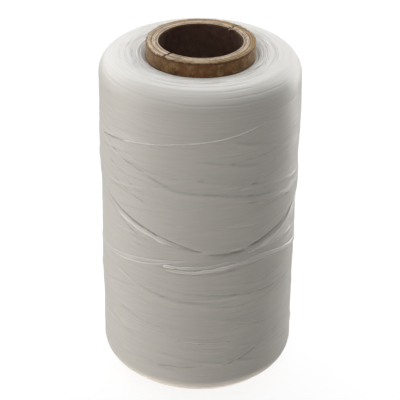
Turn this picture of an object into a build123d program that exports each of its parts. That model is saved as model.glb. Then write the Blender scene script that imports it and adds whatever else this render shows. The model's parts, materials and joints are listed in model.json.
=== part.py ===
from build123d import *
import os
from math import cos, radians, sin

# Spool of flat waxed thread, cross-wound on a spiral-wound paper tube.
#
# Units are millimetres. The origin is the centre of the tube's lower rim, and +Z runs up the tube.
# The tube is a stack of paper strips, one solid for each ply, and every strip winds round the tube
# with an open butt seam between its edges. The thread is one length: the package that it is wound
# into, the start of it that the package traps against the tube, and the last turns that lie on top.

# ---------------------------------------------------------------- paper tube
tube_length = 127.0
tube_bore = 28.6
tube_diameter = 36.8
ply_count = 8
ply_thickness = (tube_diameter - tube_bore) / 2 / ply_count

strip_lead = 64.0  # rise of a paper strip in one turn round the tube
seam_gap = 0.5  # open joint between the edges of one strip
first_seam_angle = 47.0  # where the inner ply's seam meets the top rim, from +X towards +Y
seam_step = 180.0  # each ply's seam lies opposite the one below it
whole_seam_turns = 2  # enough turns for a seam to leave the tube at its lower rim
seam_overrun = 5.0  # how far the seam cutter runs out past the top rim
seam_cut_depth = ply_thickness * 2  # radial size of the seam cutter, through the ply both ways

# ---------------------------------------------------------------- thread
thread_width = 2.4
thread_thickness = 0.3
wrap_clearance = 0.02  # keeps the last turns just clear of the package that they lie on

package_radius = 34.3
package_bottom = 4.0
package_top = 123.0
package_dish = 1.0  # how much the end faces dip beside the tube
dish_radius = 24.0  # where the dip starts
shoulder_radius = 7.0

# The start of the thread, taped by its own wax up the outside of the tube.
start_lead = 90.0
start_rise = 36.0
start_height = 18.0

# The last turns, unrolled: degrees round the spool from the front (-Y) towards +X, and height.
# The free end lies at the front. From it the thread sinks to the back, climbs across the front and
# round the back again, and comes down to meet itself at the front.
last_turns_route = (
    (-20.0, 57.1),
    (0.0, 57.5),
    (22.0, 59.1),
    (45.0, 58.4),
    (70.0, 55.1),
    (110.0, 50.0),
    (170.0, 46.6),
    (230.0, 48.6),
    (290.0, 53.6),
    (340.0, 59.6),
    (375.0, 62.0),
    (400.0, 64.2),
    (430.0, 69.0),
    (470.0, 77.4),
    (510.0, 84.0),
    (550.0, 86.8),
    (590.0, 84.4),
    (640.0, 76.8),
    (690.0, 69.4),
    (722.0, 64.6),
)
last_turns_steps = 62  # even steps along that route, one for each 12 degrees or so


def point_round_spool(angle, height, radius):
    """A point at an angle from the front (-Y) towards +X."""
    return Vector(radius * sin(radians(angle)), -radius * cos(radians(angle)), height)


os.makedirs("parts", exist_ok=True)

# ---------------------------------------------------------------- tube plies
# Each ply is a ring as long as the tube, with its strip's seam cut out along a helix.
for ply_index in range(ply_count):
    inner_radius = tube_bore / 2 + ply_index * ply_thickness
    outer_radius = inner_radius + ply_thickness
    middle_radius = (inner_radius + outer_radius) / 2
    seam_turns = whole_seam_turns + (first_seam_angle + ply_index % 2 * seam_step) / 360

    with BuildPart() as ply:
        with BuildSketch():
            Circle(outer_radius)
            Circle(inner_radius, mode=Mode.SUBTRACT)
        extrude(amount=tube_length)
        with BuildLine() as seam:
            Helix(
                pitch=strip_lead,
                height=strip_lead * seam_turns + seam_overrun,
                radius=middle_radius,
                center=(0, 0, tube_length - strip_lead * seam_turns),
            )
        with BuildSketch(Plane(origin=seam.line @ 0, x_dir=(1, 0, 0), z_dir=seam.line % 0)):
            Rectangle(seam_cut_depth, seam_gap)
        sweep(path=seam.line, is_frenet=True, mode=Mode.SUBTRACT)

    if ply_index == 0:
        ply_name = "tube_liner_ply"
    elif ply_index == ply_count - 1:
        ply_name = "tube_outer_ply"
    else:
        ply_name = f"tube_body_ply_{ply_index}"
    ply.part.label = ply_name
    export_step(ply.part, f"parts/{ply_name}.step")

# ---------------------------------------------------------------- start of the thread
# It climbs the outside of the tube under the package, so the first turns hold it.
tube_radius = tube_diameter / 2

with BuildPart() as thread_start:
    with BuildLine() as start_path:
        Helix(
            pitch=start_lead,
            height=start_rise,
            radius=tube_radius + thread_thickness / 2,
            center=(0, 0, start_height),
        )
    with BuildSketch(Plane(origin=start_path.line @ 0, x_dir=(1, 0, 0), z_dir=start_path.line % 0)):
        Rectangle(thread_thickness, thread_width)
    sweep(path=start_path.line, is_frenet=True)

thread_start.part.label = "thread_start"
export_step(thread_start.part, "parts/thread_start.step")

# ---------------------------------------------------------------- wound package
# Half of its section is revolved: flat sides, round shoulders and end faces dished beside the tube.
with BuildPart() as thread_package:
    with BuildSketch(Plane.XZ) as package_section:
        with BuildLine():
            Polyline(
                (tube_radius, package_bottom + package_dish),
                (dish_radius, package_bottom),
                (package_radius, package_bottom),
                (package_radius, package_top),
                (dish_radius, package_top),
                (tube_radius, package_top - package_dish),
                close=True,
            )
        make_face()
        shoulder_corners = package_section.vertices().group_by(Axis.X)[-1]
        fillet(shoulder_corners, shoulder_radius)
    revolve(axis=Axis.Z)
    add(thread_start.part, mode=Mode.SUBTRACT)

thread_package.part.label = "thread_package"
export_step(thread_package.part, "parts/thread_package.step")

# ---------------------------------------------------------------- last turns
# A flat ribbon that lies on the package's side. Its width stays upright, so its face stays radial.
ribbon_radius = package_radius + wrap_clearance + thread_thickness / 2
with BuildLine() as unrolled_route:
    Spline(*last_turns_route)
unrolled_points = [unrolled_route.line @ (step / last_turns_steps) for step in range(last_turns_steps + 1)]
wrapped_points = [point_round_spool(point.X, point.Y, ribbon_radius) for point in unrolled_points]

with BuildPart() as thread_last_turns:
    with BuildLine() as last_path:
        Spline(*wrapped_points)
    outward = point_round_spool(last_turns_route[0][0], 0, 1)
    with BuildSketch(Plane(origin=last_path.line @ 0, x_dir=outward, z_dir=last_path.line % 0)):
        Rectangle(thread_thickness, thread_width)
    upright_guide = last_path.edge().moved(Location((0, 0, thread_width)))
    sweep(path=last_path.line, binormal=upright_guide)

thread_last_turns.part.label = "thread_last_turns"
export_step(thread_last_turns.part, "parts/thread_last_turns.step")
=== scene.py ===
import json
import math

import bpy
import numpy as np
from mathutils import Matrix, Vector


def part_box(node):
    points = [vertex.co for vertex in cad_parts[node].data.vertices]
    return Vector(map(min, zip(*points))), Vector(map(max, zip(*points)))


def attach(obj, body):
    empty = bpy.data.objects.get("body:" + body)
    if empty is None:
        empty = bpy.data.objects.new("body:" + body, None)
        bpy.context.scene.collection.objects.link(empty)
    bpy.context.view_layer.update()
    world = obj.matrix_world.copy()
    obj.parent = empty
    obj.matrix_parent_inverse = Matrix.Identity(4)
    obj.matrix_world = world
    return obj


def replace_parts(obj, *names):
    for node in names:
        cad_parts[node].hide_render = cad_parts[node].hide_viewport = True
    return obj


# Looks of the waxed thread spool. Blender works in metres. Sizes here are in millimetres, and MM turns
# them into metres; only the lights and the floor are given in metres. Angles go round the spool in
# degrees from the front (-Y) towards +X.
MM = 0.001
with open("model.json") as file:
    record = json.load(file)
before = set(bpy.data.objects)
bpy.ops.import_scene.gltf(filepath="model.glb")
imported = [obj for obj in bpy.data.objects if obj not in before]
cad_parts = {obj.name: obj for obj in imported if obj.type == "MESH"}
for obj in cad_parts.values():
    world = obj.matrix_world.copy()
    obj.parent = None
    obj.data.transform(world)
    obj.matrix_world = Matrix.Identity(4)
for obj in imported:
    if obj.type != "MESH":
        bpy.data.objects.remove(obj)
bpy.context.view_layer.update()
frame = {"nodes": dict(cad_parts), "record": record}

# ---------------- sizes from the frame
package_low, package_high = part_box("thread_package")
PACKAGE_RADIUS = package_high[0] / MM
PACKAGE_BOTTOM = package_low[2] / MM
PACKAGE_TOP = package_high[2] / MM
PACKAGE_MIDDLE = (PACKAGE_TOP + PACKAGE_BOTTOM) / 2
TUBE_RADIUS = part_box("tube_outer_ply")[1][0] / MM
TUBE_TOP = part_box("tube_outer_ply")[1][2] / MM
LINER_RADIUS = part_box("tube_liner_ply")[1][0] / MM
BORE_RADIUS = frame["record"]["mounts"][0]["dims"]["r_mm"]
PLY_THICKNESS = LINER_RADIUS - BORE_RADIUS
PLIES = 8

# The package's outline: rounded shoulders, and end faces that sink towards the tube.
SHOULDER_RADIUS = 7.0
DISH_DEPTH = 1.0
DISH_RADIUS = 24.0
TUBE_GAP = 1.0  # the skin dips this much more in the last GAP_WIDTH before the tube
GAP_WIDTH = 3.0
FLAT_HALF = (PACKAGE_TOP - PACKAGE_BOTTOM) / 2 - SHOULDER_RADIUS  # from the middle to a shoulder
FACE_START = FLAT_HALF + SHOULDER_RADIUS * math.pi / 2  # and on to an end face, along the surface
CIRCUMFERENCE = 2 * math.pi * PACKAGE_RADIUS


# ---------------- camera and lights
def add_to_scene(name, data):
    thing = bpy.data.objects.new(name, data)
    bpy.context.scene.collection.objects.link(thing)
    return thing


def make_camera():
    """The camera looks along +Y and down at the spool, with a slight roll."""
    place = Vector((0.456, -444.6, 323.0)) * MM
    pitch = math.radians(30.09)
    roll = math.radians(0.78)
    data = bpy.data.cameras.new("camera")
    data.lens = 130.1
    data.sensor_width = 36.0
    data.clip_end = 50.0
    camera = add_to_scene("camera", data)
    tilt = Matrix.Rotation(math.pi / 2 - pitch, 4, "X") @ Matrix.Rotation(roll, 4, "Z")
    camera.matrix_world = Matrix.Translation(place) @ tilt
    bpy.context.scene.camera = camera


def make_softbox(name, angle, elevation, distance, width, height, watts, tint):
    """A soft rectangular light that faces the middle of the spool."""
    data = bpy.data.lights.new(name, "AREA")
    data.shape = "RECTANGLE"
    data.size = width
    data.size_y = height
    data.energy = watts
    data.color = tint
    light = add_to_scene(name, data)
    turn, rise = math.radians(angle), math.radians(elevation)
    outward = Vector((math.cos(rise) * math.sin(turn), -math.cos(rise) * math.cos(turn), math.sin(rise)))
    light.location = outward * distance + Vector((0, 0, PACKAGE_MIDDLE * MM))
    light.rotation_euler = outward.to_track_quat("Z", "Y").to_euler()


def make_world(strength):
    world = bpy.data.worlds.new("studio")
    world.use_nodes = True
    background = world.node_tree.nodes["Background"]
    background.inputs["Color"].default_value = (1.0, 1.0, 1.0, 1.0)
    background.inputs["Strength"].default_value = strength
    bpy.context.scene.world = world


COOL = (0.97, 0.98, 1.0)
NEUTRAL = (1.0, 0.985, 0.955)
WARM = (1.0, 0.95, 0.89)
BOUNCE = (1.0, 0.89, 0.78)  # light that has come back from the table

# Name, degrees round from the front, elevation, distance, width and height in metres, watts, tint.
LIGHTS = (
    ("softbox_top", 180, 78, 1.1, 1.4, 1.4, 3.1, COOL),
    ("softbox_top_front", 0, 54, 1.1, 1.0, 1.0, 3.6, WARM),
    ("softbox_left_high", -90, 12, 0.9, 1.0, 1.2, 1.9, WARM),
    ("softbox_left_low", -80, 0, 0.9, 0.8, 0.9, 3.1, WARM),
    ("backdrop_low", 180, 12, 0.9, 1.4, 0.5, 1.4, COOL),
    ("backdrop_left", -128, 30, 0.9, 0.6, 0.5, 2.4, COOL),
    ("backdrop_high", 180, 42, 1.0, 1.2, 0.6, 3.7, COOL),
    ("fill_right", 140, 15, 0.9, 0.5, 1.0, 1.5, NEUTRAL),
    ("strip_right", 128, 5, 0.9, 0.3, 1.0, 4.2, NEUTRAL),
    ("table_bounce", 0, -89, 0.9, 1.2, 1.2, 9.0, BOUNCE),
)

make_camera()
make_world(strength=0.10)
for light_settings in LIGHTS:
    make_softbox(*light_settings)


# ---------------- mesh helpers
def new_piece(name, vertices, faces, uvs=None, marks=None):
    """A mesh object. vertices and uvs are in millimetres, one for each vertex. marks holds a number
    for each vertex, from 0 to 1, that the piece's material reads as "mark"."""
    mesh = bpy.data.meshes.new(name)
    vertices = np.asarray(vertices, dtype=np.float32).reshape(-1, 3)
    mesh.vertices.add(len(vertices))
    mesh.vertices.foreach_set("co", (vertices * MM).ravel())
    faces = np.asarray(faces, dtype=np.int32)
    mesh.loops.add(faces.size)
    mesh.loops.foreach_set("vertex_index", faces.ravel())
    mesh.polygons.add(len(faces))
    mesh.polygons.foreach_set("loop_start", np.arange(0, faces.size, faces.shape[1], dtype=np.int32))
    mesh.polygons.foreach_set("use_smooth", np.ones(len(faces), dtype=bool))
    if uvs is not None:
        corner_uvs = np.asarray(uvs, dtype=np.float32).reshape(-1, 2)[faces]
        across_seam = np.ptp(corner_uvs[..., 0], axis=1) > CIRCUMFERENCE / 2
        behind = across_seam[:, None] & (corner_uvs[..., 0] < 0)
        corner_uvs[..., 0] += np.where(behind, CIRCUMFERENCE, 0)
        layer = mesh.uv_layers.new(name="thread")
        layer.data.foreach_set("uv", corner_uvs.ravel())
    if marks is not None:
        attribute = mesh.attributes.new("mark", "FLOAT", "POINT")
        attribute.data.foreach_set("value", np.asarray(marks, dtype=np.float32).ravel())
    mesh.update(calc_edges=True)
    mesh.validate()
    return add_to_scene(name, mesh)


def ring_faces(rings, columns):
    """Quads between rings of vertices, ring by ring."""
    ring = np.arange(rings - 1)[:, None] * columns
    column = np.arange(columns)[None, :]
    after = (column + 1) % columns
    corners = (ring + column, ring + after, ring + columns + after, ring + columns + column)
    return np.stack([corner.ravel() for corner in corners], axis=1)


def closed_ring_faces(rings, columns):
    """The same where the last ring also joins the first one."""
    closing = ring_faces(2, columns)
    closing = np.where(closing >= columns, closing - columns, closing + (rings - 1) * columns)
    return np.concatenate([ring_faces(rings, columns), closing])


def wrap_degrees(angles):
    return (angles + 180) % 360 - 180


def round_points(radii, angles, heights):
    """Points round the tube's own line."""
    turns = np.radians(angles)
    return np.stack([radii * np.sin(turns), -radii * np.cos(turns), heights], axis=-1)


# ---------------- smooth noise
OCTAVES = 3
OCTAVE_WAVES = 3
OCTAVE_FALL = 1.6  # each octave is this much weaker than the one before


def smooth_noise(x, seed):
    """One-dimensional noise in about -1 to 1 that changes over a distance of about 1."""
    rng = np.random.default_rng(seed)
    total = np.zeros_like(x)
    for octave in range(OCTAVES):
        for _ in range(OCTAVE_WAVES):
            rate = (0.6 + rng.random() * 1.4) * 2**octave
            total += np.sin(x * rate + rng.random() * 2 * math.pi) / OCTAVE_WAVES / OCTAVE_FALL**octave
    return total


def smooth_step(x):
    x = np.clip(x, 0, 1)
    return x * x * (3 - 2 * x)


# ---------------- the package's skin
# The last traverses cover only the upper part of the package, so that part is a little thicker. Its
# lower edge hangs in a V, lowest at the front: degrees round the spool, and height.
THICK_EDGE = (
    (-180, 90), (-130, 88), (-80, 79.5), (-47, 73.8), (-17, 68.5), (0, 65.3), (8, 64.0), (15, 63.6),
    (24, 64.1), (38, 65.8), (56, 68.4), (78, 73.4), (110, 81), (150, 88), (180, 90),
)
# The last turns press a crease into the skin along that edge, deep and wide on the right of the front.
CREASE_ANGLES = (-130, -90, -60, -20, 6, 16, 40, 74, 95, 130)
STEP_DEPTHS = (0.16, 0.2, 0.46, 0.48, 0.28, 0.38, 0.6, 0.46, 0.2, 0.16)
CREASE_DEPTHS = (0.0, 0.0, 0.10, 0.16, 0.08, 0.26, 0.42, 0.42, 0.26, 0.0)
CREASE_WIDTHS = (1.0, 0.5, 0.45, 0.45, 0.5, 0.8, 0.95, 0.9, 0.7, 1.0)
SKIN_GROWTH = 0.12  # the skin stands this far out of the plain package
FULL_BELTS = ((0.5, 9, 8), (0.35, 77, 5))  # where the right is fuller: how much, height, reach


def skin_lift(angle, height):
    """How far the package's skin stands out of its plain outline, without the wraps."""
    wrapped = wrap_degrees(angle)
    edge = np.interp(wrapped, *zip(*THICK_EDGE))
    crease = np.interp(wrapped, CREASE_ANGLES, CREASE_DEPTHS)
    width = np.interp(wrapped, CREASE_ANGLES, CREASE_WIDTHS)
    depth = np.interp(wrapped, CREASE_ANGLES, STEP_DEPTHS)
    step = depth * (smooth_step((height - edge) / (2.2 * width) + 0.4) - 1)
    step = step - crease * np.exp(-(((height - edge + 0.9 * width) / width) ** 2))
    turn = np.radians(wrapped)
    waves = 0.08 * np.sin(2 * turn + height / 9.0) + 0.08 * np.sin(3 * turn - height / 6.3 + 1.0)
    waves = waves + 0.05 * np.sin(height / 4.1 + 1.5 * np.sin(turn))
    right = np.clip(np.sin(turn), 0, 1) ** 2
    fullness = sum(full * np.exp(-(((height - middle) / reach) ** 2)) for full, middle, reach in FULL_BELTS)
    return SKIN_GROWTH + step + waves + fullness * right


def outline(along):
    """Radius, height and bend of the package's outline, from the distance along it. The distance starts
    at the middle of the side and is positive towards the top. The bend is 0 on the side, 90 degrees on
    an end face."""
    side = np.sign(along)
    reach = np.abs(along)
    bend = np.clip((reach - FLAT_HALF) / SHOULDER_RADIUS, 0, math.pi / 2)
    inward = np.maximum(reach - FACE_START, 0)
    radius = PACKAGE_RADIUS - SHOULDER_RADIUS * (1 - np.cos(bend)) - inward
    dish = DISH_DEPTH * np.clip((DISH_RADIUS - radius) / (DISH_RADIUS - TUBE_RADIUS), 0, 1) ** 1.5
    dish = dish + TUBE_GAP * np.clip(1 - (radius - TUBE_RADIUS) / GAP_WIDTH, 0, 1) ** 2
    height = PACKAGE_MIDDLE + side * (np.minimum(reach, FLAT_HALF) + SHOULDER_RADIUS * np.sin(bend) - dish)
    return radius, height, bend


def skin(angle, along, lift):
    """Points and outward normals on the package. lift is the distance out of its uneven skin."""
    radius, height, bend = outline(along)
    side = np.sign(along)
    lift = lift + skin_lift(angle, height) * np.cos(bend)
    turn = np.radians(angle)
    radial = np.stack([np.sin(turn), -np.cos(turn), np.zeros_like(turn)], axis=-1)
    up = np.array([0.0, 0.0, 1.0])
    normal = radial * np.cos(bend)[..., None] + up * (side * np.sin(bend))[..., None]
    point = radial * radius[..., None] + up * height[..., None] + normal * np.asarray(lift)[..., None]
    return point, normal


def smooth_route(route, angles):
    """Height at each angle of a smooth path through a few unrolled points."""
    route = np.asarray(route, float)
    slopes = np.gradient(route[:, 1], route[:, 0])
    index = np.clip(np.searchsorted(route[:, 0], angles, side="right") - 1, 0, len(route) - 2)
    gap = route[index + 1, 0] - route[index, 0]
    t = (angles - route[index, 0]) / gap
    low, high = route[index, 1], route[index + 1, 1]
    return (
        (2 * t**3 - 3 * t**2 + 1) * low
        + (t**3 - 2 * t**2 + t) * gap * slopes[index]
        + (3 * t**2 - 2 * t**3) * high
        + (t**3 - t**2) * gap * slopes[index + 1]
    )


# Wraps that show through the skin at the front: route (degrees round, height), lift, width, and the
# side on which the wrap's edge stands free: 1 is its upper edge, -1 its lower one. The other side
# slopes down under its neighbour. A wrap with a negative lift is a furrow.
FRONT_WRAPS = (
    (((-80, 98.4), (-40, 103.1), (-8, 106.4), (20, 108.7), (46, 112.0)), 0.22, 1.6, -1),
    (((22, 108.0), (44, 110.6), (62, 112.8)), 0.20, 2.0, -1),
    (((-44, 108.0), (-20, 109.2), (8, 110.4), (30, 111.0)), 0.14, 1.8, -1),
    (((10, 106.4), (26, 103.6), (40, 101.4), (62, 96.4)), 0.18, 1.6, 1),
    (((-78, 100.0), (-50, 93.6), (-34, 91.0), (-12, 86.6), (12, 85.0), (38, 82.0), (58, 80.2)), 0.26, 2.4, 1),
    (((-72, 94.4), (-54, 88.6), (-34, 82.8), (-22, 80.4)), 0.18, 2.2, 1),
    (((18, 84.4), (38, 81.4), (56, 80.0), (70, 77.6)), 0.24, 1.3, -1),
    (((44, 95.4), (60, 97.2), (76, 98.0)), 0.27, 1.3, -1),
    (((-30, 75.8), (-10, 75.4), (6, 75.0)), 0.12, 1.2, -1),
    (((-80, 78.0), (-52, 72.6), (-40, 69.2), (-22, 66.6)), 0.21, 2.2, -1),
    (((-62, 49.6), (-34, 45.2), (-12, 42.9), (14, 42.6)), 0.22, 2.4, 1),
    (((-54, 43.8), (-34, 40.4), (-20, 39.0)), 0.15, 1.8, 1),
    (((30, 49.0), (44, 50.4), (60, 52.4), (74, 55.0)), 0.18, 1.8, -1),
    (((4, 38.2), (22, 35.4), (40, 32.2), (58, 30.8)), 0.17, 2.0, -1),
    (((6, 17.6), (26, 19.6), (40, 22.8), (57, 25.5), (76, 28.4)), 0.27, 1.8, -1),
    (((-12, 28.6), (4, 27.8), (20, 27.2)), 0.21, 1.2, -1),
    (((-32, 15.6), (-18, 17.2), (-6, 17.6), (8, 18.8)), 0.27, 1.4, -1),
    (((14, 19.2), (30, 16.4), (46, 13.8)), 0.18, 2.0, 1),
    (((-78, 30.6), (-56, 28.0), (-38, 24.2)), 0.18, 2.4, 1),
    (((24, 60.6), (46, 62.6), (64, 65.4), (84, 69.6)), 0.15, 2.0, 1),
    (((22, 60.0), (40, 60.6), (58, 61.0), (80, 61.4)), 0.15, 2.0, 1),
    (((-70, 89.4), (-44, 84.6), (-20, 79.6)), 0.14, 1.8, -1),
    (((-10, 98.8), (16, 96.6), (44, 92.6)), 0.15, 2.2, 1),
    (((-66, 66.2), (-40, 62.4), (-16, 61.4)), 0.12, 2.0, 1),
    (((30, 40.6), (52, 43.4), (74, 45.2)), 0.17, 1.8, -1),
    (((-64, 37.4), (-36, 34.2), (-6, 32.8)), 0.14, 2.0, -1),
    (((-34, 60.2), (-14, 60.3), (4, 60.8), (24, 62.4)), -0.16, 0.9, -1),
    (((-30, 57.0), (-16, 57.2), (-2, 57.3)), -0.30, 0.7, -1),
    (((-30, 55.6), (-8, 55.6), (12, 56.2), (34, 56.8)), -0.12, 0.7, -1),
)

# A wrap's section: place across its half width, and share of its lift.
WRAP_PLACE = (-1.7, -1.0, 0.0, 0.7, 0.9, 1.1, 1.35, 1.7)
WRAP_SHARE = (0.0, 0.22, 0.7, 1.0, 0.8, -0.16, -0.16, 0.0)
SIDE_WRAPS = 170  # small wraps all round, besides those at the front
FACE_ARCS = 90
CALM_FROM = 103.0  # the height above which the skin is smoother
WRAP_FADE = 16.0  # degrees over which a wrap comes up out of the skin or goes down into it


def press_wrap(relief, angles, heights, route, lift, width, edge):
    """Adds one wrap to the relief of the skin, a grid with a column for each angle."""
    for turn in (-360, 0, 360):
        inside = (angles + turn > route[0][0]) & (angles + turn < route[-1][0])
        if inside.any():
            place = angles[inside] + turn
            fade = smooth_step(np.minimum(place - route[0][0], route[-1][0] - place) / WRAP_FADE)
            offset = (heights[:, inside] - smooth_route(route, place)) * edge
            relief[:, inside] += lift * fade * np.interp(2 * offset / width, WRAP_PLACE, WRAP_SHARE)


def press_side_wraps(angles, heights):
    """Relief of the package's side."""
    relief = np.zeros(heights.shape)
    for wrap in FRONT_WRAPS:
        press_wrap(relief, angles, heights, *wrap)
    rng = np.random.default_rng(21)
    for _ in range(SIDE_WRAPS):
        start = rng.uniform(-180, 180)
        reach = rng.uniform(50, 130)
        slope = rng.choice((-1, 1)) * rng.uniform(0.01, 0.13)
        middle = rng.uniform(PACKAGE_BOTTOM + 10, PACKAGE_TOP - 12)
        turns = np.linspace(0, reach, 5)
        rises = middle + slope * (turns - reach / 2) + rng.uniform(-0.7, 0.7, 5)
        lift = rng.uniform(0.04, 0.13)
        width = rng.uniform(1.2, 2.4)
        route = list(zip(start + turns, rises))
        press_wrap(relief, angles, heights, route, lift, width, rng.choice((-1, 1)))
    return relief * (1 - 0.5 * smooth_step((heights - CALM_FROM) / 5))


def press_face_arcs(angles, radii, seed):
    """Relief of an end face: arcs of thread round the tube, each over part of a turn."""
    relief = np.zeros(radii.shape)
    rng = np.random.default_rng(seed)
    for _ in range(FACE_ARCS):
        start = rng.uniform(-180, 180)
        reach = rng.uniform(60, 190)
        middle = TUBE_RADIUS + (PACKAGE_RADIUS - 2 - TUBE_RADIUS) * rng.random() ** 1.3
        turns = np.linspace(0, reach, 5)
        bow = rng.uniform(-1.6, 0.6) * np.sin(math.pi * turns / reach)
        route = list(zip(start + turns, middle + bow + rng.uniform(-0.15, 0.15, 5)))
        lift = rng.uniform(0.045, 0.16)
        width = rng.uniform(0.7, 1.5)
        press_wrap(relief, angles, radii, route, lift, width, rng.choice((-1, 1)))
    return relief


# ---------------- ribbons of thread
# A ribbon's section, closed: place across the width from -1 to 1, and share of the thickness.
FLAT_SECTION = np.array([
    (-1.0, -0.3), (-0.86, 0.45), (-0.68, 0.85), (-0.5, 0.97), (-0.3, 1.0), (-0.1, 0.9), (0.1, 0.9),
    (0.3, 1.0), (0.5, 0.97), (0.68, 0.85), (0.86, 0.45), (1.0, -0.3), (0.5, -0.8), (-0.5, -0.8),
])
EDGE_SECTION = np.array([(-1.0, 0.0), (-0.6, 0.7), (0.0, 1.0), (0.6, 0.7), (1.0, 0.0), (0.0, -0.8)])


def ribbon_faces(count, section):
    """Quads of one ribbon, its two ends closed. section is the number of points in its section."""
    rung = np.arange(section // 2 - 1)
    cap = np.stack([rung, section - 1 - rung, section - 2 - rung, rung + 1], axis=1)
    return np.concatenate([ring_faces(count, section), cap, cap[:, ::-1] + (count - 1) * section])


def ribbon_mesh(points, normals, width, thickness, lean, seed, section=EDGE_SECTION, loose=0.0):
    """A flat thread along points. lean turns it about its own line, in degrees. loose says how far the
    wax has let go of its fibres."""
    points = np.asarray(points)
    count = len(points)
    tangent = np.gradient(points, axis=0)
    tangent /= np.linalg.norm(tangent, axis=1)[:, None]
    across = np.cross(normals, tangent)
    across /= np.linalg.norm(across, axis=1)[:, None]
    out = np.cross(tangent, across)
    lean = np.radians(np.broadcast_to(lean, count))[:, None]
    across, out = across * np.cos(lean) + out * np.sin(lean), out * np.cos(lean) - across * np.sin(lean)
    half = np.broadcast_to(width, count)[:, None, None] / 2
    thick = np.broadcast_to(thickness, count)[:, None, None]
    place = section[None, :, 0, None]
    share = section[None, :, 1, None]
    vertices = points[:, None, :] + across[:, None, :] * half * place + out[:, None, :] * thick * share
    travel = np.concatenate([[0], np.cumsum(np.linalg.norm(np.diff(points, axis=0), axis=1))])
    shift = np.random.default_rng(seed).random(2) * 400
    u = np.broadcast_to(travel[:, None] + shift[0], (count, len(section)))
    v = half[:, :, 0] * section[None, :, 0] + shift[1]
    uvs = np.stack([u, v], axis=-1).reshape(-1, 2)
    marks = np.broadcast_to(loose, count).repeat(len(section))
    return vertices.reshape(-1, 3), ribbon_faces(count, len(section)), uvs, marks


def join_ribbons(name, ribbons):
    """One piece out of several ribbons."""
    vertices, faces, uvs, marks = zip(*ribbons)
    starts = np.cumsum([0, *map(len, vertices[:-1])])
    faces = [quads + start for quads, start in zip(faces, starts)]
    return new_piece(name, *map(np.concatenate, (vertices, faces, uvs, marks)))


# ---------------- materials
# Sockets of a Mix node, which has several of the same name.
NUMBER_A, NUMBER_B, NUMBER_RESULT = 2, 3, 0
COLOUR_A, COLOUR_B, COLOUR_RESULT = 6, 7, 2


class Value:
    """A number, colour or vector from a material's node. Arithmetic on it adds math nodes, so that a
    formula reads like one."""

    def __init__(self, graph, socket):
        self.graph = graph
        self.socket = socket

    def __add__(self, other):
        return self.graph.math("ADD", self, other)

    def __sub__(self, other):
        return self.graph.math("SUBTRACT", self, other)

    def __rsub__(self, other):
        return self.graph.math("SUBTRACT", other, self)

    def __mul__(self, other):
        return self.graph.math("MULTIPLY", self, other)

    def __truediv__(self, other):
        return self.graph.math("DIVIDE", self, other)

    def __abs__(self):
        return self.graph.math("ABSOLUTE", self)


class Graph:
    """A new material and the nodes that feed its shader."""

    def __init__(self, name):
        self.material = bpy.data.materials.new(name)
        self.material.use_nodes = True
        self.nodes = self.material.node_tree.nodes
        self.shader = self.nodes["Principled BSDF"]

    def put(self, value, socket):
        """Links a Value to a socket, or sets the socket to a fixed value."""
        if isinstance(value, Value):
            self.material.node_tree.links.new(value.socket, socket)
        else:
            socket.default_value = value

    def add(self, kind, output, inputs, **settings):
        """One output of a new node. inputs holds a value for each input that isn't left alone."""
        node = self.nodes.new("ShaderNode" + kind)
        for name, setting in settings.items():
            setattr(node, name, setting)
        for key, value in inputs.items():
            self.put(value, node.inputs[key])
        return Value(self, node.outputs[output])

    def place(self):
        """The point's own coordinates, in metres."""
        return self.add("TexCoord", "Object", {})

    def thread_uv(self):
        """Travel round the package, or along a ribbon, and the distance across it, in millimetres."""
        return self.add("UVMap", "UV", {}, uv_map="thread")

    def mark(self):
        return self.add("Attribute", "Fac", {}, attribute_name="mark")

    def split(self, vector):
        node = self.nodes.new("ShaderNodeSeparateXYZ")
        self.put(vector, node.inputs["Vector"])
        return [Value(self, socket) for socket in node.outputs]

    def vector(self, x, y, z):
        return self.add("CombineXYZ", "Vector", {"X": x, "Y": y, "Z": z})

    def stretch(self, vector, scale):
        return self.add("Mapping", "Vector", {"Vector": vector, "Scale": scale})

    def math(self, operation, *values):
        return self.add("Math", "Value", dict(enumerate(values)), operation=operation)

    def edge_distance(self, lane):
        """Distance from the nearest whole number, where one lane ends and the next one starts."""
        within = self.math("FRACT", lane)
        return self.math("MINIMUM", within, 1.0 - within)

    def ramp(self, value, start, end):
        """0 at start, 1 at end, smooth between them and level beyond."""
        inputs = {"Value": value, "From Min": start, "From Max": end}
        return self.add("MapRange", "Result", inputs, interpolation_type="SMOOTHSTEP")

    def noise(self, vector, scale, detail=3.0, roughness=0.55):
        inputs = {"Vector": vector, "Scale": scale, "Detail": detail, "Roughness": roughness}
        return self.add("TexNoise", "Fac", inputs)

    def mix(self, factor, first, second):
        """A colour between first and second, which may be fixed colours."""
        inputs = {"Factor": factor}
        for socket, colour in ((COLOUR_A, first), (COLOUR_B, second)):
            inputs[socket] = colour if isinstance(colour, Value) else (*colour, 1.0)
        return self.add("Mix", COLOUR_RESULT, inputs, data_type="RGBA")

    def colours(self, factor, *stops):
        """A colour from a ramp of (position, colour) stops."""
        node = self.nodes.new("ShaderNodeValToRGB")
        elements = node.color_ramp.elements
        while len(elements) < len(stops):
            elements.new(0.5)
        for element, (position, colour) in zip(elements, stops):
            element.position = position
            element.color = (*colour, 1.0)
        self.put(factor, node.inputs["Fac"])
        return Value(self, node.outputs["Color"])

    def bump(self, height, millimetres, strength=1.0, over=None):
        """Normals of a relief, on top of those of another relief."""
        inputs = {"Height": height, "Distance": millimetres * MM, "Strength": strength}
        if over is not None:
            inputs["Normal"] = over
        return self.add("Bump", "Normal", inputs)

    def shade(self, inputs):
        """Sets the shader's inputs and gives the finished material."""
        for name, value in inputs.items():
            self.put(value, self.shader.inputs[name])
        return self.material


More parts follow.
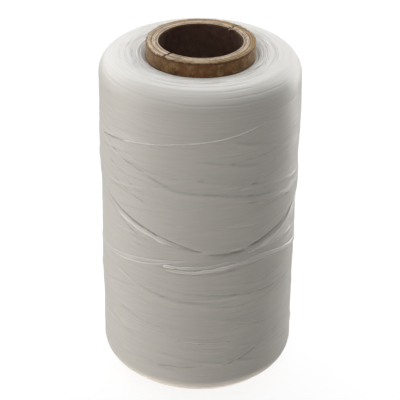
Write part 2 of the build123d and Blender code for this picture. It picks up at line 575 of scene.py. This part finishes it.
def radius_round_tube(graph, x, y):
    """Distance from the tube's own line, in metres."""
    return graph.math("SQRT", graph.math("POWER", x, 2.0) + graph.math("POWER", y, 2.0))


WAX_DARK = (0.70, 0.69, 0.66)
WAX_LIGHT = (0.79, 0.785, 0.765)
OPEN_FIBRE_DARK = (0.80, 0.79, 0.77)
OPEN_FIBRE_LIGHT = (0.97, 0.965, 0.95)
# Colour of the painted shade in the skin's creases, under the edges of wraps and round the tube.
CREASE_SHADE_COLOUR = (0.36, 0.352, 0.345)
# Colour of the painted shade in the gaps between turns on the end faces near the tube.
GAP_SHADE_COLOUR = (0.40, 0.39, 0.40)
THREAD_ROUGHNESS = 0.42

# Families of turns seen in the package's skin: rise in one turn (mm), turns side by side in that
# rise, share of them that lie on top, and how far they reach over the shoulders.
TURN_FAMILIES = (
    (4.6, 2, 1.0, 4.0),
    (-7.2, 3, 0.8, 4.0),
    (10.4, 4, 0.5, 4.0),
    (-31.2, 13, 0.28, 2.0),
    (40.8, 16, 0.25, 2.0),
    (-56.0, 22, 0.16, 1.0),
)
STEEP_COUNT = 8  # families with more turns than this count them round, so that they join up
SEAM_FADE = 25.0  # over this distance, the first family's fibres take over at the UVs' seam


def turn_family(graph, place, travel, along, index, rise, count, share, over):
    """How high one family's turns stand at each point, and the tone of their fibres."""
    drift = graph.noise(place, 28.0 + 5 * index, 2.0)
    across = along - travel * (rise / CIRCUMFERENCE)
    lane = across * (count / abs(rise)) + drift * 1.6
    number = graph.math("FLOOR", lane)
    if count > STEEP_COUNT:
        number = graph.math("FLOORED_MODULO", number, float(count))
    seed = {"Vector": graph.vector(number, 3.7 * index + 0.5, 0.0)}  # of a turn's own random number
    pick = graph.add("TexWhiteNoise", "Value", seed, noise_dimensions="2D")
    on_top = graph.ramp(pick, 1.0 - share, 1.0 - share + 0.1)
    edge = graph.ramp(graph.edge_distance(lane), 0.0, 0.22)
    patch = graph.noise(graph.stretch(place, (1, 1, 1.6)), 34.0 + 7 * index, 1.0)
    past_shoulder = graph.ramp(abs(along), FLAT_HALF + over, FLAT_HALF + over + 4)
    height = on_top * edge + patch * 1.6 - past_shoulder * 1.5
    fibre = graph.noise(graph.vector(travel * 0.02, across * 2.6, 7.0 * index), 1.0, 3.0)
    return height, fibre


def package_skin_material():
    """White flat thread wound in crossing families of turns, pressed together and waxed smooth."""
    graph = Graph("waxed_package")
    travel, along, _ = graph.split(graph.thread_uv())
    place = graph.place()
    off_seam = graph.ramp(abs(travel), CIRCUMFERENCE / 2, CIRCUMFERENCE / 2 - SEAM_FADE)
    height, streak = turn_family(graph, place, travel, along, 0, *TURN_FAMILIES[0])
    for index, family in enumerate(TURN_FAMILIES[1:], start=1):
        level, fibre = turn_family(graph, place, travel, along, index, *family)
        wins = graph.ramp(level - height, -0.05, 0.05) * off_seam
        height = graph.math("MAXIMUM", level, height)
        streak = graph.add("Mix", NUMBER_RESULT, {"Factor": wins, NUMBER_A: streak, NUMBER_B: fibre})
    colour = graph.colours(streak, (0.25, WAX_DARK), (0.75, WAX_LIGHT))
    # Painted shade: the mark darkens the skin in its creases, under the edges of wraps and near the tube.
    colour = graph.mix(graph.ramp(graph.mark(), 0.04, 0.9), colour, CREASE_SHADE_COLOUR)
    x, y, _ = graph.split(place)
    near_tube = graph.ramp(radius_round_tube(graph, x, y), 30.0 * MM, 20.0 * MM)
    on_face = graph.ramp(abs(along), FACE_START - 2, FACE_START)
    # Painted shade between the turns on the end faces, near the tube.
    gap_shade = graph.ramp(graph.noise(graph.vector(travel * 0.07, along * 1.9, 3.0), 1.0, 2.0), 0.55, 0.66)
    return graph.shade({
        "Base Color": graph.mix(gap_shade * (near_tube * on_face), colour, GAP_SHADE_COLOUR),
        "Normal": graph.bump(streak, 0.035, over=graph.bump(height, 0.075)),
        "Roughness": THREAD_ROUGHNESS,
        "Subsurface Weight": 0.35,
        "Subsurface Radius": (1.0, 0.95, 0.85),
        "Subsurface Scale": 0.8 * MM,
    })


def waxed_thread_material():
    """White flat thread: fine filaments along its length, bunched into fibrils, under a waxy satin."""
    graph = Graph("waxed_thread")
    uv = graph.thread_uv()
    filaments = graph.noise(graph.stretch(uv, (0.02, 6.0, 1.0)), 1.0, 4.0)
    fibrils = graph.noise(graph.stretch(uv, (0.012, 1.3, 1.0)), 1.0, 2.0)
    waxed = graph.colours(fibrils, (0.3, WAX_DARK), (0.7, WAX_LIGHT))
    loose = graph.colours(fibrils, (0.35, OPEN_FIBRE_DARK), (0.55, OPEN_FIBRE_LIGHT))
    return graph.shade({
        "Base Color": graph.mix(graph.mark(), waxed, loose),
        "Normal": graph.bump(filaments, 0.03, over=graph.bump(fibrils, 0.07)),
        "Roughness": THREAD_ROUGHNESS,
    })


THREAD_MATERIAL = waxed_thread_material()
SKIN_MATERIAL = package_skin_material()


def finish_thread(piece, material=THREAD_MATERIAL):
    piece.data.materials.append(material)
    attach(piece, "root")


# ---------------- the package
SKIN_COLUMNS = 210
SKIN_ROWS = 468
CREASE_DEPTH = 0.3  # this far below its neighbours counts as a deep crease
CREASE_WINDOW = 11  # rows that count as neighbours
EDGE_SLOPE = 0.06  # slopes steeper than this count as the edge of a wrap
TUBE_SHADE = 7.0  # painted shade on the end faces reaches this far from the tube


def painted_crease_shade(relief, spacing):
    """How deep in a crease, or how far under an edge, each point of the skin lies, from 0 to 1. The skin's
    material paints it into its colour as shade.
    """
    window = np.hanning(CREASE_WINDOW)
    window /= window.sum()
    padded = np.pad(relief, ((CREASE_WINDOW // 2,) * 2, (0, 0)), mode="edge")
    around = sum(weight * padded[index : index + len(relief)] for index, weight in enumerate(window))
    under_edge = np.clip(np.gradient(relief, spacing, axis=0) - EDGE_SLOPE, 0, None)
    crease_shade = np.clip((around - relief) / CREASE_DEPTH + 1.2 * under_edge, 0, 1)
    return np.maximum(crease_shade, 0.8 * np.roll(crease_shade, 1, axis=0))


def make_package_skin():
    """The package's pressed and waxed skin: one surface from the tube, over the side, to the tube."""
    reach = FACE_START + PACKAGE_RADIUS - SHOULDER_RADIUS - TUBE_RADIUS
    columns = np.linspace(-180, 180, SKIN_COLUMNS, endpoint=False)
    rows = np.linspace(-reach, reach, SKIN_ROWS)
    angles, alongs = np.meshgrid(columns, rows)
    radii, heights, bend = outline(alongs)
    on_side = np.cos(bend) ** 2
    on_face = smooth_step((PACKAGE_RADIUS - 3.5 - radii) / 4)
    lifts = press_side_wraps(columns, heights) * on_side
    lifts += press_face_arcs(columns, radii, 31) * on_face * (alongs > 0)
    lifts += press_face_arcs(columns, radii, 32) * on_face * (alongs < 0)
    points, _ = skin(angles, alongs, lifts)
    # Painted shade, kept in the mark: deep in creases and under the edges of wraps.
    crease_shade = painted_crease_shade((lifts + skin_lift(angles, heights)) * on_side, rows[1] - rows[0])
    # Painted shade round the tube, over the end faces.
    crease_shade = np.maximum(crease_shade, 0.5 * np.clip(1 - (radii - TUBE_RADIUS) / TUBE_SHADE, 0, 1))
    uvs = np.stack([np.radians(angles) * PACKAGE_RADIUS, alongs], axis=-1)
    piece = new_piece("package_skin", points, ring_faces(SKIN_ROWS, SKIN_COLUMNS), uvs, crease_shade)
    finish_thread(piece, SKIN_MATERIAL)
    return piece


def face_along(radius):
    """Distance along the outline at which an end face or shoulder has this radius."""
    short = np.clip(1 - (PACKAGE_RADIUS - radius) / SHOULDER_RADIUS, -1, 1)
    on_shoulder = FLAT_HALF + SHOULDER_RADIUS * np.arccos(short)
    on_face = FACE_START + PACKAGE_RADIUS - SHOULDER_RADIUS - radius
    return np.where(radius > PACKAGE_RADIUS - SHOULDER_RADIUS, on_shoulder, on_face)


FACE_TURNS = 80


def end_face_turns(name, side, seed):
    """The thread's reversals on an end face, seen edge on: arcs round the tube that rise to the face
    and dive back into the package. They are closest together near the tube."""
    rng = np.random.default_rng(seed)
    ribbons = []
    for _ in range(FACE_TURNS):
        radius = TUBE_RADIUS + 0.35 + 8.2 * rng.random() ** 1.7
        start = rng.uniform(0, 360)
        sweep = rng.uniform(70, 170)
        t = np.linspace(0, 1, int(sweep / 3))
        angles = start + sweep * t
        bow = rng.uniform(-0.9, 1.4) * (radius - TUBE_RADIUS) / 6
        wander = 0.1 * smooth_noise(angles / 40, rng.integers(1 << 30))
        path_radius = np.maximum(radius - bow * np.sin(math.pi * t) + wander, TUBE_RADIUS + 0.25)
        dive = smooth_step(np.minimum(t, 1 - t) / 0.3)
        lifts = rng.uniform(-0.26, -0.10) - 0.9 * (1 - dive)
        points, normals = skin(angles, side * face_along(path_radius), lifts)
        lean = side * rng.uniform(30, 80)
        ribbons.append(ribbon_mesh(points, normals, 0.9, 0.24, lean, rng.integers(1 << 30)))
    finish_thread(join_ribbons(name, ribbons))


# ---------------- the last turns
# Degrees round the spool and height, from the free end at the front.
LAST_TURNS = (
    (-20, 57.1), (0, 57.5), (22, 59.1), (45, 58.4), (70, 55.1), (110, 50.0), (170, 46.6), (230, 48.6),
    (290, 53.6), (340, 59.6), (375, 62.0), (400, 64.2), (430, 69.0), (470, 77.4), (510, 84.0),
    (550, 86.8), (590, 84.4), (640, 76.8), (690, 69.4), (722, 64.6),
)
SPLIT_END = 34.0  # the free end has come apart into two strands up to this angle
ANGLE_STEP = 1.5

# Turns whose upper edge has come loose: route, lift and width.
LOOSE_EDGES = (
    (((-56, 100.6), (-40, 102.4), (-8, 105.8), (20, 108.1), (40, 110.8)), 0.20, 0.55),
    (((22, 83.2), (38, 80.8), (56, 79.4), (68, 77.8)), 0.13, 0.6),
    (((46, 95.0), (60, 96.6), (74, 97.4)), 0.16, 0.6),
    (((-62, 53.9), (-44.5, 55.6), (-28, 57.5), (-13, 60.0), (-4, 60.6)), 0.10, 0.5),
    (((12, 17.6), (26, 19.2), (40, 22.2), (57, 25.0), (72, 27.6)), 0.16, 0.5),
    (((-28, 15.6), (-18, 16.8), (-6, 17.1), (4, 18.0)), 0.15, 0.5),
    (((-12, 28.2), (4, 27.4), (20, 26.8)), 0.12, 0.5),
    (((40, 60.0), (56, 62.4), (72, 65.6)), 0.10, 0.6),
    (((30, 62.2), (44, 63.6), (58, 66.0), (72, 69.8), (84, 74.4)), 0.19, 1.6),
    (((40, 61.6), (54, 63.6), (68, 66.8), (82, 71.4)), 0.21, 1.4),
    (((52, 61.4), (66, 64.2), (80, 68.4)), 0.18, 1.0),
)


def last_turn_strand(first, last, offset, lift, width, lean, loose, seed):
    """One strand of the last turns between two angles. offset is up from the thread's line; offset,
    lift, width, lean and loose each hold (angle, value) stops."""
    angles = np.arange(first, last, ANGLE_STEP)
    profiles = (offset, lift, width, lean, loose)
    offset, lift, width, lean, loose = (np.interp(angles, *zip(*stops)) for stops in profiles)
    ends = smooth_step(np.minimum(angles - first, last - angles) / 3.0)
    ragged = 1 + (0.08 + 0.22 * loose) * smooth_noise(angles / 3.5, seed + 4)
    width = width * (0.72 + 0.28 * ends) * ragged
    thickness = 0.22 * (1 + 0.14 * smooth_noise(angles / 9, seed)) * (0.5 + 0.5 * ends)
    heights = smooth_route(LAST_TURNS, angles) + offset + 0.15 * loose * smooth_noise(angles / 4, seed + 5)
    lift = lift + (0.012 + 0.03 * loose) * smooth_noise(angles / 5, seed + 1)
    points, normals = skin(angles, heights - PACKAGE_MIDDLE, lift)
    lean = lean + 1.5 * smooth_noise(angles / 16, seed + 2)
    return ribbon_mesh(points, normals, width, thickness, lean, seed + 3, FLAT_SECTION, loose)


def loose_edge(route, lift, width, seed):
    """The edge of a turn that has come up out of the wax, a narrow strand."""
    angles = np.arange(route[0][0], route[-1][0], ANGLE_STEP)
    ends = smooth_step(np.minimum(angles - angles[0], angles[-1] - angles) / 14.0)
    heights = smooth_route(route, angles) + 0.05 * smooth_noise(angles / 6, seed)
    lifts = lift - 0.12 * (1 - ends) + 0.03 * smooth_noise(angles / 5, seed + 1)
    points, normals = skin(angles, heights - PACKAGE_MIDDLE, lifts)
    width = width * (1 + 0.3 * smooth_noise(angles / 4, seed + 2)) * (0.4 + 0.6 * ends)
    return ribbon_mesh(points, normals, width, 0.1, -16, seed + 3, loose=0.35 + 0.65 * ends)


def make_last_turns():
    upper = last_turn_strand(
        -20, SPLIT_END + 14,
        offset=((-20, 0.74), (-8, 0.9), (10, 0.7), (48, 0.5)),
        lift=((-20, 0.24), (-10, 0.16), (6, 0.02), (20, -0.04), (48, -0.25)),
        width=((-20, 1.1), (-12, 1.25), (48, 1.2)),
        lean=((-20, -17), (-8, -10), (8, -3), (48, 0)),
        loose=((-20, 1.0), (-12, 0.9), (0, 0.3), (20, 0.3), (48, 0.0)),
        seed=81,
    )
    lower = last_turn_strand(
        -18, SPLIT_END + 14,
        offset=((-18, -0.5), (-8, -0.68), (10, -0.66), (48, -0.4)),
        lift=((-18, 0.14), (-10, 0.22), (20, 0.20), (36, 0.08), (48, -0.1)),
        width=((-18, 0.9), (-8, 1.1), (48, 1.2)),
        lean=((-18, -24), (16, -24), (48, -8)),
        loose=((-18, 1.0), (14, 1.0), (30, 0.6), (48, 0.2)),
        seed=84,
    )
    whole = last_turn_strand(
        SPLIT_END - 10, 722,
        offset=((360, 0), (376, -0.5), (395, -0.9), (430, -0.9), (455, 0), (722, 0)),
        lift=(
            (24, -0.16), (34, 0.04), (90, 0.10), (262, 0.08), (282, -0.04), (345, -0.05), (368, -0.10),
            (380, -0.3), (440, -0.3), (470, 0.04), (612, 0.04), (636, -0.2), (662, -0.2), (671, 0.06),
            (700, 0.06), (707, -0.06), (722, -0.3),
        ),
        width=(
            (24, 2.2), (60, 2.0), (290, 1.6), (300, 1.3), (345, 1.1), (372, 1.6), (440, 2.3), (640, 2.2),
            (668, 1.6), (684, 1.9), (702, 2.1), (722, 1.8),
        ),
        lean=((24, -4), (80, -6), (110, -2), (650, -2), (671, -11), (698, -11), (706, -3), (722, -2)),
        loose=(
            (24, 0.0), (32, 0.4), (78, 0.3), (90, 0.0), (290, 0.0), (310, 0.15), (345, 0.25), (362, 0.0),
            (664, 0.0), (673, 1.0), (699, 1.0), (706, 0.0),
        ),
        seed=90,
    )
    loose_edges = [loose_edge(*edge, seed=120 + index) for index, edge in enumerate(LOOSE_EDGES)]
    piece = join_ribbons("thread_last_turns_ribbon", [upper, lower, whole, *loose_edges])
    finish_thread(piece)
    return piece


package_skin = make_package_skin()
end_face_turns("package_top_turns", 1, 5)
end_face_turns("package_bottom_turns", -1, 6)
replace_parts(package_skin, "thread_package", "thread_start")
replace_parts(make_last_turns(), "thread_last_turns")


# ---------------- paper tube
SEAM_ANGLES = (137.0, -43.0)  # where the plies' seams come out of the ends, degrees from the front
STRIP_LEAD = 64.0  # rise of a paper strip in one turn round the tube
WALL_FOOT = TUBE_TOP - PACKAGE_TOP + DISH_DEPTH + TUBE_GAP  # from the cut end to where the skin starts


def kraft_material(name, dark, middle, light, red, speck, cut_edge, sheen):
    """Brown kraft paper: felted fibres in blotches, dark specks and a dry, rough face. It is stained
    along the tube's cut ends; cut_edge says how strongly. sheen is the pale bloom of its loose fibres."""
    graph = Graph(name)
    place = graph.place()
    blotches = graph.noise(place, 420.0, 4.0, 0.6)
    fibres = graph.noise(graph.stretch(place, (1.0, 1.0, 0.35)), 1500.0, 4.0, 0.6)
    tone = blotches * 0.65 + fibres * 0.35
    colour = graph.colours(tone, (0.36, dark), (0.5, middle), (0.64, light))
    reddish = graph.ramp(graph.noise(place, 250.0, 2.0), 0.50, 0.62)
    colour = graph.mix(reddish * 0.45, colour, red)
    specks = graph.ramp(graph.noise(place, 760.0, 2.0), 0.66, 0.74)
    colour = graph.mix(specks, colour, speck)
    height = graph.split(place)[2]
    from_middle = abs(height - TUBE_TOP / 2 * MM) + (blotches - 0.5) * (1.6 * MM)
    stain = graph.ramp(from_middle, (TUBE_TOP / 2 - 0.95) * MM, (TUBE_TOP / 2 - 0.5) * MM)
    colour = graph.mix(stain * cut_edge, colour, speck)
    # The mark darkens the colour to the speck's: along the wall's seam and at its nick, and as painted shade
    # at the wall's foot beside the thread.
    return graph.shade({
        "Base Color": graph.mix(graph.mark(), colour, speck),
        "Normal": graph.bump(fibres, 0.08, 0.7, over=graph.bump(blotches, 0.10, 0.7)),
        "Roughness": 0.8,
        "Sheen Weight": sheen,
        "Sheen Roughness": 0.4,
        "Sheen Tint": (1.0, 0.80, 0.58, 1.0),
    })


def seam_line(graph, x, y, ply_tone):
    """1 along the seams of the plies where they cross the cut edge, 0 elsewhere. The two seams lie
    opposite each other, so they share one plane through the tube's line. Each ply's is a little off."""
    turn = math.radians(SEAM_ANGLES[0])
    jog = (ply_tone - 0.5) * (0.7 * MM)
    return graph.ramp(abs(x * math.cos(turn) + y * math.sin(turn) + jog), 0.55 * MM, 0.3 * MM)


BOARD_DARK = (0.25, 0.175, 0.10)
BOARD_MIDDLE = (0.57, 0.445, 0.325)
BOARD_LIGHT = (0.83, 0.71, 0.57)
GOLDEN_DARK = (0.27, 0.165, 0.065)
GOLDEN_LIGHT = (0.64, 0.44, 0.21)
GLUE_COLOUR = (0.15, 0.09, 0.045)
SEAM_COLOUR = (0.11, 0.065, 0.030)
# Colour of the painted shade on the cut end's faces that don't face up.
NOTCH_SHADE_COLOUR = (0.20, 0.105, 0.045)


def board_material():
    """The cut edge of the tube: grey-brown plies, each of its own tone, between dark lines of glue,
    inside golden kraft that is broadest on one side."""
    graph = Graph("chipboard")
    place = graph.place()
    x, y, _ = graph.split(place)
    wander = graph.noise(place, 160.0, 3.0) - 0.5
    radius = radius_round_tube(graph, x, y) + wander * (0.35 * MM)
    lane = (radius - BORE_RADIUS * MM) / (PLY_THICKNESS * MM)
    broken = graph.ramp(graph.noise(place, 330.0, 3.0), 0.34, 0.54)
    glue = graph.ramp(graph.edge_distance(lane), 0.26, 0.05) * broken * graph.ramp(lane, 7.8, 7.5)
    ply = {"W": graph.math("FLOOR", lane)}
    ply_tone = graph.add("TexWhiteNoise", "Value", ply, noise_dimensions="1D")
    fibres = graph.noise(place, 2100.0, 4.0, 0.7)
    tone = ply_tone * 0.3 + fibres * 0.9
    face = graph.colours(tone, (0.40, BOARD_DARK), (0.60, BOARD_MIDDLE), (0.82, BOARD_LIGHT))
    golden = graph.colours(fibres, (0.38, GOLDEN_DARK), (0.66, GOLDEN_LIGHT))
    slant = (x + y * 0.6) * (1.2 / (TUBE_RADIUS * MM))
    colour = graph.mix(graph.ramp(lane + slant + wander * 5.0, 5.2, 7.0), face, golden)
    colour = graph.mix(glue, colour, GLUE_COLOUR)
    colour = graph.mix(seam_line(graph, x, y, ply_tone), colour, SEAM_COLOUR)
    # Painted shade: where the cut end doesn't face up, in its notches and over the bore's edge, it is
    # darkened.
    facing_up = abs(graph.split(graph.add("NewGeometry", "Normal", {}))[2])
    notch_shade = graph.ramp(facing_up, 0.6, 0.3) * graph.ramp(lane, 7.7, 7.4)
    return graph.shade({
        "Base Color": graph.mix(notch_shade, colour, NOTCH_SHADE_COLOUR),
        "Normal": graph.bump(fibres, 0.10, 0.8),
        "Roughness": 0.88,
    })


KRAFT = kraft_material(
    "kraft_paper", dark=(0.095, 0.048, 0.014), middle=(0.205, 0.105, 0.034), light=(0.38, 0.22, 0.088),
    red=(0.25, 0.09, 0.036), speck=(0.06, 0.022, 0.012), cut_edge=0.75, sheen=0.5,
)
# The liner is a darker copy of the tube's kraft: the bore's shade is painted into its colour.
SHADED_LINER = kraft_material(
    "kraft_liner", dark=(0.062, 0.029, 0.020), middle=(0.082, 0.042, 0.029), light=(0.11, 0.060, 0.040),
    red=(0.10, 0.040, 0.028), speck=(0.04, 0.016, 0.011), cut_edge=0.3, sheen=0.0,
)
BOARD = board_material()


def finish_kraft(piece, material=KRAFT):
    piece.data.materials.append(material)
    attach(piece, "root")


TUBE_MATERIALS = {"tube_liner_ply": SHADED_LINER, "tube_outer_ply": KRAFT}
for node_name, node in frame["nodes"].items():
    if node_name.startswith("tube_"):
        node.data.materials.clear()
        node.data.materials.append(TUBE_MATERIALS.get(node_name, BOARD))

RIM_COLUMNS = 720
RIM_STEPS = 58
# The rim's section beside the cut face: distance out from the bore or the tube's face, and rise.
RIM_INNER = ((0.5, -0.7), (-0.03, -0.6), (-0.04, -0.3), (-0.02, -0.08))
RIM_OUTER = ((0.01, -0.05), (0.03, -0.16), (-0.04, -0.34), (-0.5, -0.7))
GLUE_DEPTH = 0.2
NOTCH_DEPTH = 0.6
LIP_SPREAD = 13.0  # degrees of the rim that lean in with the lifted liner


def rim_relief(angles, radii, seed):
    """How far each ply's cut edge stands up, in millimetres: it differs from ply to ply, sinks at the
    glue between them and breaks away at the seams."""
    rng = np.random.default_rng(seed)
    lane = np.clip((radii - BORE_RADIUS) / PLY_THICKNESS, 0, PLIES - 0.001)
    ply = np.floor(lane).astype(int)
    within = lane - ply
    edge = np.minimum(within, 1 - within)
    turn = np.radians(angles)
    rise = np.zeros(radii.shape)
    for index in range(PLIES):
        waves = np.zeros(angles.shape)
        for rate in (1, 2, 5, 9, 17, 31):
            wave = np.sin(rate * turn + rng.uniform(0, 2 * math.pi))
            waves += wave * rng.uniform(0.3, 1) / rate**0.45
        level = rng.uniform(0.02, 0.14) + 0.05 * waves
        for middle in SEAM_ANGLES:
            place = middle + rng.uniform(-2.6, 2.6) + 2.2 * ((index + (middle < 0)) % 2)
            gap = np.abs(wrap_degrees(angles - place))
            level = level - NOTCH_DEPTH * (1 - smooth_step((gap - rng.uniform(0.5, 1.5)) / 0.9))
        rise += np.where(ply == index, level, 0)
    return rise - GLUE_DEPTH * (1 - smooth_step(edge / 0.24))


def liner_lip(angles, radii):
    """How far the lifted edge of the liner leans into the bore at its seam."""
    before = SEAM_ANGLES[0] - angles
    curl = np.where((before > 0) & (before < LIP_SPREAD), (1 - before / LIP_SPREAD) ** 1.6, 0)
    return curl * np.clip(1 - (radii - BORE_RADIUS) / (2 * PLY_THICKNESS), 0, 1)


def make_rim(name, side, seed):
    """The cut end of the tube, a closed ring that caps the plies."""
    steps = np.linspace(BORE_RADIUS + 0.03, TUBE_RADIUS - 0.03, RIM_STEPS)
    face = np.stack([steps, np.zeros(RIM_STEPS)], axis=1)
    inner = np.add(RIM_INNER, (BORE_RADIUS, 0))
    outer = np.add(RIM_OUTER, (TUBE_RADIUS, 0))
    radii, rises = np.concatenate([inner, face, outer]).T
    columns = np.linspace(-180, 180, RIM_COLUMNS, endpoint=False)
    angle_grid, radius_grid = np.meshgrid(columns, radii)
    rise = rim_relief(angle_grid, radius_grid, seed) + rises[:, None]
    rise[0] = rise[-1] = RIM_INNER[0][1]
    frayed = (rises > -0.3) & (radii > TUBE_RADIUS - 0.1)
    reach = radius_grid + 0.05 * smooth_noise(columns / 2.3, seed + 1) * frayed[:, None]
    if side > 0:
        reach -= liner_lip(angle_grid, radius_grid)
    level = TUBE_TOP if side > 0 else 0.0
    points = round_points(reach, angle_grid, level + side * rise)
    piece = new_piece(name, points, closed_ring_faces(len(radii), RIM_COLUMNS))
    piece.data.materials.append(BOARD)
    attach(piece, "root")


WALL_COLUMNS = 540
NICK = (-25.5, 4.3)  # a small dark nick in the wall: degrees from the front, distance below the end


def make_wall(name, side, seed):
    """The outer ply's face where it stands clear of the thread, with its seam pressed nearly shut."""
    columns = np.linspace(-180, 180, WALL_COLUMNS, endpoint=False)
    angles, depths = np.meshgrid(columns, np.linspace(0.22, 6.6, 30))
    below_top = depths if side > 0 else TUBE_TOP - depths
    aside = wrap_degrees(angles - SEAM_ANGLES[1] + below_top * 360 / STRIP_LEAD)
    seam = np.exp(-((aside / 0.55) ** 2))
    ripple = 0.012 * smooth_noise(angles / 1.4 + 2 * np.sin(depths * 1.3), seed)
    ripple += 0.010 * smooth_noise(depths * 3.1 + angles / 9, seed + 1)
    nick = np.exp(-(((angles - NICK[0]) / 1.1) ** 2) - ((depths - NICK[1]) / 0.7) ** 2) * (side > 0)
    reach = TUBE_RADIUS + 0.05 + ripple - 0.035 * seam - 0.05 * nick
    depths[0] += 0.07 * smooth_noise(columns / 1.9, seed + 2)
    # Painted shade: the wall darkens towards its foot, where the thread's skin meets it.
    foot_shade = smooth_step((depths - WALL_FOOT + 1.1) / 0.45)
    marks = np.maximum(np.maximum(0.35 * seam, nick), foot_shade)
    # One more ring at each end, inside the tube's wall, closes the piece.
    hidden = np.full((1, WALL_COLUMNS), TUBE_RADIUS - 0.08)
    reach = np.concatenate([hidden, reach, hidden])
    depths = np.concatenate([depths[:1], depths, depths[-1:]])
    marks = np.pad(marks, ((1, 1), (0, 0)))
    points = round_points(reach, columns, TUBE_TOP - depths if side > 0 else depths)
    finish_kraft(new_piece(name, points, closed_ring_faces(len(depths), WALL_COLUMNS), marks=marks))


RIM_FIBRES = 150


def make_rim_fibres():
    """Loose paper fibres along the outer edge of the cut end."""
    rng = np.random.default_rng(44)
    fibres = []
    for _ in range(RIM_FIBRES):
        turn = math.radians(rng.uniform(-180, 180))
        outward = np.array([math.sin(turn), -math.cos(turn), 0.0])
        forward = np.array([math.cos(turn), math.sin(turn), 0.0])
        start = outward * (TUBE_RADIUS - rng.uniform(0.0, 0.25)) + np.array([0, 0, TUBE_TOP + 0.02])
        reach = rng.uniform(0.25, 0.9)
        run = forward * rng.uniform(-1, 1) + outward * rng.uniform(0.05, 0.4)
        t = np.linspace(0, 1, 6)[:, None]
        bow = np.array([0, 0, 1.0]) * rng.uniform(0.1, 0.45)
        points = start + run * reach * t + bow * np.sin(math.pi * t * rng.uniform(0.5, 0.9))
        normals = np.broadcast_to(outward, points.shape)
        fibres.append(ribbon_mesh(points, normals, 0.06, 0.025, rng.uniform(0, 90), 1))
    finish_kraft(join_ribbons("tube_rim_fibres", fibres))


LIP_LENGTH = 9.0  # how far down the bore the liner has lifted
LIP_SECTION = 10


def make_liner_lip():
    """The liner's seam has lifted at the top: its free edge curls a little into the bore."""
    rise = np.linspace(-LIP_LENGTH, 0.12, 19)[:, None]
    t = np.linspace(0, 1, LIP_SECTION)
    angles = SEAM_ANGLES[0] - 4.0 + rise * 0.9 - 9.0 * (1 - t)
    curl = 1.05 * smooth_step((rise + LIP_LENGTH) / LIP_LENGTH) * t**2.2
    front = BORE_RADIUS - 0.02 - curl
    back = front + 0.42 * (1 - 0.4 * t)
    radii = np.concatenate([front, back[:, ::-1]], axis=1)
    angles = np.concatenate([angles, angles[:, ::-1]], axis=1)
    points = round_points(radii, angles, np.broadcast_to(TUBE_TOP + rise, radii.shape))
    piece = new_piece("tube_liner_lip", points, ribbon_faces(len(rise), 2 * LIP_SECTION))
    finish_kraft(piece, SHADED_LINER)


make_rim("tube_rim_top", 1, 61)
make_rim("tube_rim_bottom", -1, 62)
make_wall("tube_wall_top", 1, 71)
make_wall("tube_wall_bottom", -1, 74)
make_rim_fibres()
make_liner_lip()


# ---------------- floor
FLOOR_RINGS = ((2.0, 0.0), (2.8, 0.1), (3.5, 0.5), (4.0, 1.2), (4.2, 2.2), (4.2, 6.0))  # radius, height
FLOOR_COLUMNS = 96


def make_floor():
    """A pale floor that curves up into a wall all round the studio. It glows, so that it is pale without
    more light on the spool, and it throws none of its own light back."""
    turns = np.linspace(0, 2 * math.pi, FLOOR_COLUMNS, endpoint=False)
    corners = [(r * math.cos(t), r * math.sin(t), z) for r, z in FLOOR_RINGS for t in turns]
    faces = ring_faces(len(FLOOR_RINGS), FLOOR_COLUMNS).tolist()
    mesh = bpy.data.meshes.new("floor")
    mesh.from_pydata(corners, [], [list(range(FLOOR_COLUMNS)), *faces])
    floor = add_to_scene("floor", mesh)
    mesh.materials.append(Graph("studio_floor").shade({
        "Base Color": (0.21, 0.213, 0.22, 1.0),
        "Emission Color": (1.0, 1.0, 1.0, 1.0),
        "Emission Strength": 0.80,
        "Roughness": 0.9,
    }))
    floor.visible_diffuse = False
    floor.visible_glossy = False
    floor.visible_shadow = False


make_floor()
bpy.context.scene.view_settings.view_transform = "Standard"
